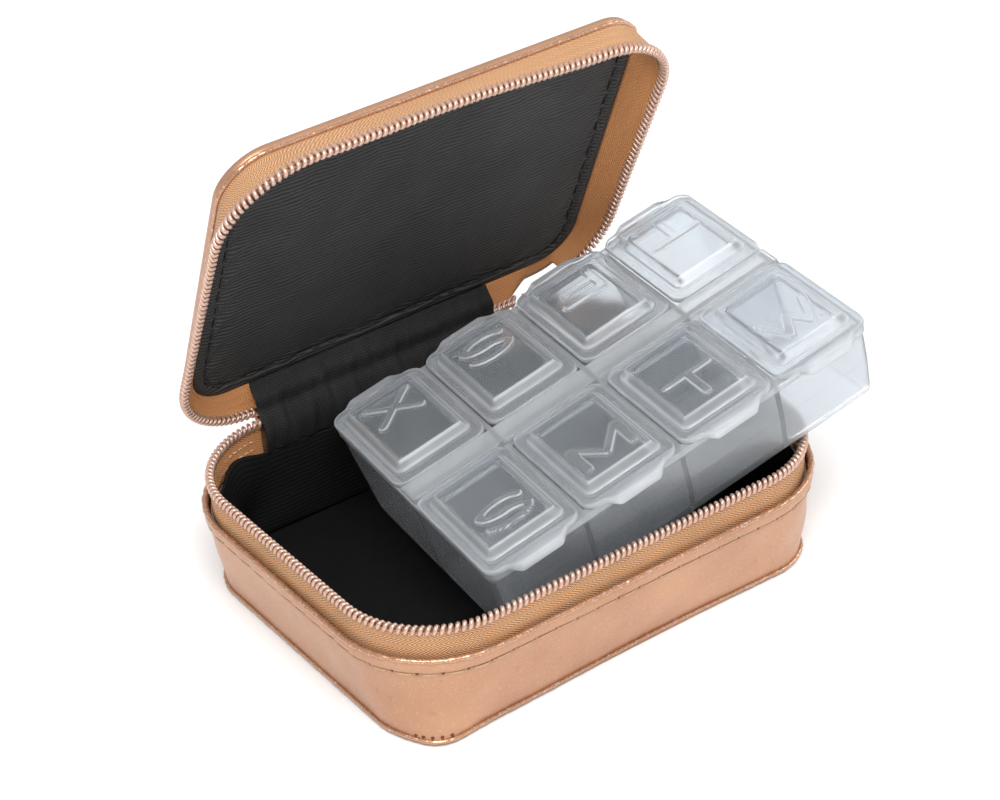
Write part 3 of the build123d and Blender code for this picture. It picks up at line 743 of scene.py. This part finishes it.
def lid_loop(size):
    """The face function of one upright loop of the shut lid, returned as a function of share,
    height and distance outwards, and opened."""
    def face(u, z, out):
        px, py, nx, ny = loop_points(u, *size)
        return open_lid(np.stack(np.broadcast_arrays(px + nx * out, py + ny * out, z), axis=-1))
    return face


def lid_zip(u, z, out):
    """The lid's tape line: the loop narrows from the zipper's to the leather edge's over the tape's
    height. Its free edge leans out of the lid, more the further it is from the hinge, and sags
    towards the hinge at the right front corner, where nothing holds it."""
    free = np.clip((LID_TAPE_FOOT - z) / (LID_TAPE_FOOT - LID_TAPE_HEAD), 0, 1)
    size = [high + (low - high) * free for low, high in zip(TAPE_SIZE, LID_SEAM_SIZE)]
    px, py, nx, ny = loop_points(u, *size)
    px, py = px + nx * out, py + ny * out
    lean = (HINGE_POINT[1] - py) * TAPE_LEAN + 0.7 * bell(u, 0.42, 0.06)
    sag = 3.6 * bell(u, 0.61, 0.09)
    return open_lid(np.stack(np.broadcast_arrays(px, py + sag * free, z - lean * free), axis=-1))


LID_RUN = run_lengths(lid_zip, LID_TAPE_HEAD, 0.0)
lid_shares = back_shares(lid_zip, HINGE_LEFT + HINGE_POINT[0], HINGE_RIGHT + HINGE_POINT[0])
lid_slider = [back_shares(lid_zip, 0.0, x)[1] for x in (SLIDER_LEFT - 0.8, SLIDER_RIGHT + 1.8)]
SLIDER_TUCK = 2.3
TUCK_RAMP = 0.006
BEHIND_GUSSET = 5.0


def lid_tape_edge(u):
    """The height of the lid tape's free edge: tucked back out of the slider's way beside it."""
    beside = np.minimum(u - lid_slider[1], lid_slider[0] - u) / TUCK_RAMP + 1
    return LID_TAPE_HEAD + SLIDER_TUCK * np.clip(beside, 0, 1)


# The tape's ends run on behind the gusset, where they're sewn in.
tucked = back_shares(lid_zip, HINGE_LEFT + HINGE_POINT[0] + BEHIND_GUSSET,
                     HINGE_RIGHT + HINGE_POINT[0] - BEHIND_GUSSET)
tape_piece("lid_zipper_tape_strip", lid_zip, tucked, LID_RUN, LID_TAPE_FOOT, lid_tape_edge, "case_lid",
           tape_cloth, ["lid_zipper_tape"], LID_TAPE_WALL)
coil_pair("lid", lid_zip, lid_shares, lid_slider, LID_RUN, LID_COIL_Z, "case_lid")

# ---------------------------------------------------------------- lid: leather band and rolled edge
# A narrow strip of the leatherette binds the lid's edge: a thin roll towards the zipper, sewn
# round a cord of waste, and a low band that turns over on to the panel.
BAND_FOOT = 34.1
BAND_HEAD = 35.9
BAND_T = 0.9
lid_face = lid_loop(LID_SEAM_SIZE)
BAND_RUN = run_lengths(lid_face, 35.0, 0.0)
edge_s = np.interp(bead_u, *BAND_RUN)
edge_pucker = 1 + 0.10 * np.sin(edge_s * 1.7) + 0.06 * np.sin(edge_s * 3.3 + 2)
leather_bead("lid_edge_roll", lid_face, edge_s, edge_pucker, (-0.1, 33.95), (0.66, 0.55), 14, 4, "case_lid",
             "lid_edge_fold")
band_z = np.linspace(BAND_FOOT, BAND_HEAD, 10)
u_grid, z_grid = np.meshgrid(wall_u[:-1], band_z)
band_out = 0.22 * np.sin(np.pi * (z_grid - BAND_FOOT) / (BAND_HEAD - BAND_FOOT)) - 0.1
side_band = grid_piece("lid_side_leather", lid_face(u_grid, z_grid, band_out),
                       (np.interp(wall_u, *BAND_RUN), band_z), "case_lid", wall_skin,
                       ["lid_side_band"], joined=(False, True))
thicken(side_band, BAND_T)

# ---------------------------------------------------------------- lid: outer panel
# The lid's outside is one panel of leatherette over thin board, a little crowned by the lining
# and board under it, rounded over along its edge and sewn through with the same long stitches.
PANEL_SIZE = (102.8, 77.6, 10.7)
PANEL_EDGE = 0.9
PANEL_TOP = 36.15
PANEL_UNDER = 35.2
PANEL_SEAM = 2.9


def rolled_over(from_edge, roll):
    """How far a face lies under its top near its outline: a quarter circle of radius roll."""
    return roll - np.sqrt(np.clip(roll**2 - np.clip(roll - from_edge, 0, None) ** 2, 0, None))


panel_steps = spread(-1, (-0.9, 16), (0.9, 70), (1, 16))
gx, gy = rounded_grid(*PANEL_SIZE, panel_steps, panel_steps)
from_edge = np.clip(inside(gx, gy, *PANEL_SIZE), 0, None)
fall = rolled_over(from_edge, PANEL_EDGE)
crown = 0.7 * (1 - np.exp(-from_edge / 9)) + 0.08 * np.sin(gx / 9 + gy / 14) * np.sin(gy / 8)
crown -= 0.22 * bell(from_edge, PANEL_SEAM, 0.5)
panel_top = np.stack([gx, gy, PANEL_TOP - fall + crown], -1)
panel_under = np.stack([gx, gy, 0 * gx + PANEL_UNDER], -1)
slab_piece("lid_outer_leather", open_lid(panel_top), open_lid(panel_under), "case_lid", panel_skin,
           ["lid_top_panel"], uv=np.stack([gx, gy], -1))
panel_face = lid_loop(PANEL_SIZE)
PANEL_RUN = run_lengths(panel_face, PANEL_TOP, -PANEL_SEAM)
panel_count = round(PANEL_RUN[1][-1] / STITCH_STEP)
panel_places = (np.arange(panel_count) + 0.5) * PANEL_RUN[1][-1] / panel_count
stitch_piece("lid_panel_stitches", panel_face, panel_places, STITCH_HALF, PANEL_TOP + 0.15, -PANEL_SEAM,
             PANEL_RUN, "case_lid", tan_thread, radius=0.3, dip=(0, -1))

# ---------------------------------------------------------------- lid: lining
# One flat panel of the ribbed nylon, sewn in 3 mm inside its edge with black thread; it's drawn
# down at the stitches and stands a little full between them.
LINING_SIZE = (100.6, 75.4, 9.6)
LINING_SEAM = 2.9
LINING_STEP = 4.2
LINING_FACE = 33.55
LINING_BACK = 34.05
# This copy's ribs are made far lighter and stand out more than the base's: a painted sheen on the same black
# nylon.
lid_nylon = ribbed_nylon("nylon_lid", 1.05, 2.6, False, 0.003, 0.085, 0.9)
lining_steps = spread(-1, (-0.9, 16), (0.9, 90), (1, 16))
gx, gy = rounded_grid(*LINING_SIZE, lining_steps, lining_steps)
from_edge = inside(gx, gy, *LINING_SIZE)
fullness = 1 - np.exp(-np.clip(from_edge - LINING_SEAM, 0, None) / 7)
waves = (0.16 * np.sin(gx / 8.3 + gy / 21) + 0.12 * np.sin(gx / 4.1 - gy / 9 + 1)
         + 0.10 * np.sin(gy / 6.5 + gx / 30))
gather = 0.22 * np.sin((gx + gy) / 1.15) * bell(from_edge, LINING_SEAM + 1.6, 1.8)
lining_down = 0.65 * fullness + waves * fullness + gather
lining_down += 0.35 * bell(from_edge, 1.3, 1.0) - 0.4 * bell(from_edge, LINING_SEAM, 0.5)
lining_face = np.stack([gx, gy, LINING_FACE - lining_down], -1)
lining_back = np.stack([gx, gy, 0 * gx + LINING_BACK], -1)
lid_lining = slab_piece("lid_lining_panel", open_lid(lining_face), open_lid(lining_back), "case_lid",
                        lid_nylon, ["lid_lining"], uv=np.stack([gx, gy], -1))
black_thread = spun_thread("thread_black", (0.004, 0.004, 0.004, 1), (0.03, 0.03, 0.03, 1), 0.5)
seam_face = lid_loop(LINING_SIZE)
LINING_RUN = run_lengths(seam_face, LINING_FACE, -LINING_SEAM)
lining_places = np.arange(1.5, LINING_RUN[1][-1] - 1, LINING_STEP)
stitch_piece("lid_lining_stitches", seam_face, lining_places, 1.55, LINING_FACE + 0.05, -LINING_SEAM,
             LINING_RUN, "case_lid", black_thread, radius=0.3, dip=(0, 1))

# ---------------------------------------------------------------- hinge: gusset and spine
# The lid hangs on two strips. Inside, the black nylon of the linings runs across as a gathered
# gusset, its folds pulled across the strip; outside, a narrow leatherette spine covers it.
STRIP_LEFT = -33.9
STRIP_RIGHT = 28.6
STRIP_LENGTH = 17.5
SPINE_T = 0.7


def across_hinge(points_yz, t):
    """A smooth line across the hinge at shares t of its length: a cubic through four points
    given by their Lagrange weights."""
    at = np.array([0, 1 / 3, 2 / 3, 1])
    weights = [np.prod([(t - b) / (a - b) for b in at if b != a], axis=0) for a in at]
    return sum(w[..., None] * np.array(p) for w, p in zip(weights, points_yz))


def hinge_strip(name, points_yz, rise, finish, replaced, columns, rows, thickness):
    """A strip across the hinge, shaped once in the lid's open pose: its line is carried along X and
    lifted off itself by rise(x, t), and curves from base to lid."""
    x, t = np.meshgrid(np.linspace(STRIP_LEFT, STRIP_RIGHT, columns), np.linspace(0, 1, rows))
    line = across_hinge(points_yz, t)
    slope = across_hinge(points_yz, t + 0.01) - line
    slope /= np.linalg.norm(slope, axis=-1, keepdims=True)
    lift = rise(x, t)[..., None]
    yz = line + lift * np.stack([-slope[..., 1], slope[..., 0]], -1)
    front = np.stack([x, yz[..., 0], yz[..., 1]], -1)
    back = front + thickness * np.stack([0 * x, slope[..., 1], -slope[..., 0]], -1)
    uv = np.stack([x, t * STRIP_LENGTH], -1)
    piece = slab_piece(name, front, back, None, finish, replaced, uv=uv)
    line[0, 0, 0] * MM
    line[-1, 0, 0] * MM
    line[-1, 0, 1] * MM
    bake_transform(piece)
    return piece


def gathers(x, t):
    """Uneven folds across the strip: three waves along X that shift with t, fading at the ends,
    and long rolls along it where the lid's seam pulls it in."""
    waves = (0.5 * np.sin(x / 0.95 + 2.5 * t) + 0.4 * np.sin(x / 0.6 - 3 * t + 1)
             + 0.3 * np.sin(x / 2.6 + 5 * t))
    held = np.sin(np.pi * np.clip(t * 0.9 + 0.05, 0, 1)) ** 0.6
    roll = 0.55 * bell(t, 0.78, 0.09) - 0.5 * bell(t, 0.62, 0.07) + 0.35 * bell(t, 0.35, 0.15)
    return 0.1 + 0.7 * waves * held + roll


# The gusset's ribs are lighter than the base's: a painted sheen on the same black nylon.
gusset_nylon = ribbed_nylon("nylon_gusset", 0.6, 0.8, True, 0.003, 0.055, 1.0)
gusset = hinge_strip("hinge_gusset", [(42.2, 20.6), (42.0, 25.8), (43.9, 31.4), (46.5, 36.8)], gathers,
                     gusset_nylon, ["hinge_lining"], 420, 46, NYLON_T)
hinge_strip("hinge_spine_leather", [(43.5, 20.4), (43.8, 25.0), (46.0, 30.4), (49.0, 35.9)],
            lambda x, t: -0.3 - 0.12 * np.sin(x / 3.1) * np.sin(np.pi * t), panel_skin,
            ["hinge_spine"], 120, 20, SPINE_T)

# ---------------------------------------------------------------- pill box: tray
# One moulding of natural polypropylene, frosted by a matt tool: it lets light through but milks
# it, more where the wall is thick or turns at the lip, and it's a little bluish over black.
lid_names = ("sunday", "monday", "tuesday", "wednesday", "thursday", "friday", "saturday", "extra")
pins = {joint["child"]: joint for joint in frame["record"]["behaviour"]["joints"]}


def unit(vector):
    """The same direction, 1 long."""
    return np.array(vector, float) / np.linalg.norm(vector)


box_along = unit(pins["pill_lid_extra"]["axis"])
box_back = unit(np.subtract(pins["pill_lid_extra"]["pos_m"], pins["pill_lid_sunday"]["pos_m"]))
box_up = unit(np.cross(box_along, box_back))


def frosted(name, haze_of):
    """Natural polypropylene: a clear, slightly rough glassy part and a milky part, mixed by how
    hazy the wall is there; haze_of makes that share inside this material."""
    plastic = Finish(name)
    at = plastic.place()
    skin = plastic.noise(at, 0.35, 2, 0.6)
    flow = plastic.noise(at, 7, 2, 0.5)
    normal = plastic.bump(skin, 0.02, 0.25, plastic.bump(flow, 0.08, 0.25))
    clear = plastic.node("BsdfPrincipled", None, {
        "Base Color": plastic.mix(flow, (0.84, 0.885, 0.93, 1), (0.92, 0.95, 0.98, 1)),
        "Roughness": skin * 0.10 + 0.07,
        "IOR": 1.40,
        "Transmission Weight": 0.93,
        "Normal": normal,
    })
    milky = plastic.node("BsdfPrincipled", None, {
        "Base Color": plastic.mix(flow, (0.80, 0.83, 0.86, 1), (0.90, 0.92, 0.94, 1)),
        "Roughness": skin * 0.15 + 0.30,
        "IOR": 1.40,
        "Transmission Weight": 0.45,
        "Normal": normal,
    })
    haze = haze_of(plastic, at)
    return plastic.done(plastic.node("MixShader", None, {0: haze + (flow - 0.5) * 0.08, 1: clear, 2: milky}))


def tray_haze(plastic, at):
    """The tray's haze: even in the walls, more towards the lip and where the floor turns up."""
    above = plastic.node("VectorMath", {"operation": "DOT_PRODUCT"}, {0: at, 1: list(box_up)}, output="Value")
    foot = float(np.dot(box_up, pins["pill_lid_sunday"]["pos_m"]))
    height = (above - foot) / MM
    near_foot = 1 - plastic.between(height, -24.0, -20.0)
    return 0.12 + plastic.between(height, -5.0, -1.5) * 0.3 + near_foot * 0.12


refinish("pill_tray", frosted("frosted_tray", tray_haze))

# ---------------------------------------------------------------- pill box: the eight lids
# Each lid is a thin flange on the centre strip's living hinge, pressed up into a bevelled window
# over its compartment, with a bow-shaped thumb tab and a raised day initial.
LID_HALF = 11.4
LID_NEAR = -0.6
LID_FAR = 31.4
LID_CORNER = 3.2
LID_SKIN = 0.65
LID_ROLL = 0.4
LID_MIDDLE = (LID_NEAR + LID_FAR) / 2
WINDOW_MIDDLE = 15.5
WINDOW_SIZE = (2 * 9.3, 2 * 12.8, 1.8)
WINDOW_RISE = 2.0
BEVEL_W = 1.5
RECESS_SIZE = (2 * 7.3, 2 * 10.8, 1.2)
RECESS_RISE = 2.1
TAB_HALF = 7.8
TAB_FROM = 28.6
TAB_OUT = 1.8
TAB_DROP = 1.25
RING_AT = (-5.3, 24.2)
RING_OUTER = 0.62
RING_INNER = 0.36
RING_RISE = 0.22
HINGE_BEAD = (7.5, 4.5)
HINGE_BEAD_OFF = 1.25
LETTER_W = 11.4
LETTER_H = 7.6
LETTER_MIDDLE = 20.0
STROKE_HALF = 0.95
LETTER_RISE = 0.42


def arc_run(cx, cy, rx, ry, start, stop):
    """Points along part of an oval, in degrees anticlockwise from its right."""
    turn = np.radians(np.linspace(start, stop, 12))
    return list(zip(cx + rx * np.cos(turn), cy + ry * np.sin(turn)))


# Each initial as runs of straight strokes on a square 1 wide and 1 high, from its lower left.
LETTER_RUNS = {
    "S": [arc_run(0.5, 0.74, 0.42, 0.26, 15, 270) + arc_run(0.5, 0.25, 0.42, 0.25, 90, -165)],
    "M": [[(0.02, 0), (0.02, 1), (0.5, 0.2), (0.98, 1), (0.98, 0)]],
    "T": [[(0.05, 1), (0.95, 1)], [(0.5, 1), (0.5, 0)]],
    "W": [[(0, 1), (0.25, 0), (0.5, 0.72), (0.75, 0), (1, 1)]],
    "F": [[(0.12, 0), (0.12, 1), (0.92, 1)], [(0.12, 0.5), (0.78, 0.5)]],
    "X": [[(0.08, 0), (0.92, 1)], [(0.08, 1), (0.92, 0)]],
}
INITIALS = dict(zip(lid_names, "SMTWTFSX"))


def from_strokes(gx, gy, runs):
    """How far each grid point is from the nearest stroke: the least distance to its segments."""
    nearest = np.full(gx.shape, 99.0)
    for run in runs:
        ends = [(LETTER_W * (0.5 - a), LETTER_MIDDLE + LETTER_H * (0.5 - b)) for a, b in run]
        for (x0, y0), (x1, y1) in zip(ends[:-1], ends[1:]):
            dx, dy = x1 - x0, y1 - y0
            share = np.clip(((gx - x0) * dx + (gy - y0) * dy) / (dx**2 + dy**2), 0, 1)
            nearest = np.minimum(nearest, np.hypot(gx - x0 - share * dx, gy - y0 - share * dy))
    return nearest


def eased(value):
    """From 0 to 1, level at both ends."""
    value = np.clip(value, 0, 1)
    return value * value * (3 - 2 * value)


def pill_lid_grids(letter):
    """A lid in its own place, pin at the origin and Y outwards: the top rises by an eased bevel
    to the window and again for the initial; the underside follows it, one wall lower."""
    across = spread(-1, (-0.97, 4), (-0.62, 12), (-0.5, 3), (0.5, 70), (0.62, 3), (0.97, 12), (1, 4))
    along = spread(-1, (-0.97, 4), (-0.76, 10), (-0.16, 22), (0.48, 66), (0.62, 6), (0.8, 14), (0.97, 8),
                   (1, 4))
    outline = (2 * LID_HALF, LID_FAR - LID_NEAR, LID_CORNER)
    gx, gy = rounded_grid(*outline, across, along)
    edge = inside(gx, gy, *outline)
    gy = gy + LID_MIDDLE
    to_window = inside(gx, gy - WINDOW_MIDDLE, *WINDOW_SIZE)
    to_recess = inside(gx, gy - WINDOW_MIDDLE, *RECESS_SIZE)
    stroke = from_strokes(gx, gy, LETTER_RUNS[letter])
    ring = np.hypot(gx - RING_AT[0], gy - RING_AT[1])
    fall = rolled_over(edge, LID_ROLL)
    tab = eased((TAB_HALF - np.abs(gx)) / 3.4) * eased((gy - TAB_FROM) / 2.4)
    up_bevel = to_window / BEVEL_W
    top = LID_SKIN - fall + WINDOW_RISE * (0.15 * eased(up_bevel) + 0.85 * np.clip(up_bevel, 0, 1))
    top += LETTER_RISE * eased((STROKE_HALF + 0.12 - stroke) / 0.24)
    top += RING_RISE * eased((RING_OUTER - ring) / 0.2) - RING_RISE * eased((RING_INNER - ring) / 0.2)
    bead = eased(1 - np.abs(to_window + HINGE_BEAD_OFF) / 0.3)
    top += 0.18 * bead * (np.abs(gx) < HINGE_BEAD[0]) * (gy < HINGE_BEAD[1])
    under = -LID_SKIN + fall - TAB_DROP * tab + RECESS_RISE * eased(to_recess / 0.3)
    haze = 0.15 + 0.40 * bell(to_window, BEVEL_W, 0.22) + 0.22 * bell(to_window, 0.1, 0.3)
    haze += 0.08 * (to_window > 0)
    haze += 0.32 * np.exp(-np.clip(edge, 0, None) / 0.3) + 0.1 * tab
    haze = np.where(to_window > BEVEL_W, 0.02 + 0.4 * np.exp(-(to_window - BEVEL_W) / 0.22), haze)
    haze += 0.42 * bell(stroke, STROKE_HALF, 0.13) + 0.07 * (stroke < STROKE_HALF)
    reach = gy + TAB_OUT * tab
    return np.stack([gx, reach, top], -1), np.stack([gx, reach, under], -1), haze


def lid_haze(plastic, at):
    """The lids' haze, as each one's grid stores it."""
    return plastic.node("Attribute", {"attribute_name": "haze"}, output="Fac")


def on_its_pin(node, grid):
    """A lid's own grid (across, outwards and up from its pin), moved to where the box holds it."""
    pin_point = np.array(pins[node]["pos_m"]) / MM
    across = unit(pins[node]["axis"])
    outwards = np.cross(box_up, across)
    return pin_point + grid[..., :1] * across + grid[..., 1:2] * outwards + grid[..., 2:] * box_up


lid_plastic = frosted("frosted_lid", lid_haze)
for day in lid_names:
    node = f"pill_lid_{day}"
    top, under, haze = pill_lid_grids(INITIALS[day])
    day_lid = slab_piece(f"{node}_moulding", on_its_pin(node, top), on_its_pin(node, under), node,
                         lid_plastic, [node], uv=np.zeros((*haze.shape, 2)))
    layer = day_lid.data.attributes.new("haze", "FLOAT", "POINT")
    layer.data.foreach_set("value", np.tile(haze.ravel(), 2).astype(np.float32))

# ---------------------------------------------------------------- stage, light and camera
# A pale sweep, one large soft light above, a fill from the right and an even white room.
FLOOR_HALF = 3.0
FLOOR_Z = -0.0003
floor_mesh = bpy.data.meshes.new("floor")
floor_corners = [(x * FLOOR_HALF, y * FLOOR_HALF, FLOOR_Z) for x, y in ((-1, -1), (1, -1), (1, 1), (-1, 1))]
floor_mesh.from_pydata(floor_corners, [], [(0, 1, 2, 3)])
floor = put_in_scene("floor", floor_mesh)
paper = Finish("pale_paper")
floor_mesh.materials.append(paper.painted({"Base Color": (0.90, 0.90, 0.90, 1), "Roughness": 0.9}))

room = bpy.data.worlds.new("white_room")
room.use_nodes = True
room.node_tree.nodes["Background"].inputs["Color"].default_value = (1.0, 1.0, 1.0, 1)
room.node_tree.nodes["Background"].inputs["Strength"].default_value = 0.72
bpy.context.scene.world = room
bpy.context.scene.view_settings.view_transform = "Standard"


def stand(name, data, right, up, back, place):
    """A lamp or camera at a place, with these directions as its X, Y and Z."""
    rows = [[right[k], up[k], back[k], place[k]] for k in range(3)]
    thing = put_in_scene(name, data)
    thing.matrix_world = Matrix([*rows, [0, 0, 0, 1]])
    return thing


def soft_light(name, place, aim, size, watts):
    """A square soft light that faces a point."""
    lamp = bpy.data.lights.new(name, "AREA")
    lamp.size = size
    lamp.energy = watts
    back = unit(np.subtract(place, aim))
    right = unit(np.cross((0, 0, 1), back))
    stand(name, lamp, right, np.cross(back, right), back, place)


soft_light("overhead_soft", (-0.25, -0.35, 0.75), (0, 0, 0.03), 0.5, 6.8)
soft_light("right_fill", (0.7, -0.15, 0.45), (0, 0, 0.04), 0.4, 2.0)

AZIMUTH, ELEVATION, ROLL = (math.radians(v) for v in (-34.17, 33.15, -3.55))
DISTANCE, SHIFT_RIGHT, SHIFT_UP, LOOK_Z = 0.58894, -0.00179, 0.01763, 0.020
toward = np.array([math.sin(AZIMUTH) * math.cos(ELEVATION), -math.cos(AZIMUTH) * math.cos(ELEVATION),
                   math.sin(ELEVATION)])
level = np.array([math.cos(AZIMUTH), math.sin(AZIMUTH), 0])
upright = np.cross(toward, level)
camera_right = level * math.cos(ROLL) + upright * math.sin(ROLL)
camera_up = upright * math.cos(ROLL) - level * math.sin(ROLL)
eye = toward * DISTANCE + camera_right * SHIFT_RIGHT + camera_up * SHIFT_UP + [0, 0, LOOK_Z]
camera_data = bpy.data.cameras.new("camera")
camera_data.lens = 100
camera_data.sensor_width = 36
camera_data.clip_start = 0.01
bpy.context.scene.camera = stand("camera", camera_data, camera_right, camera_up, toward, eye)
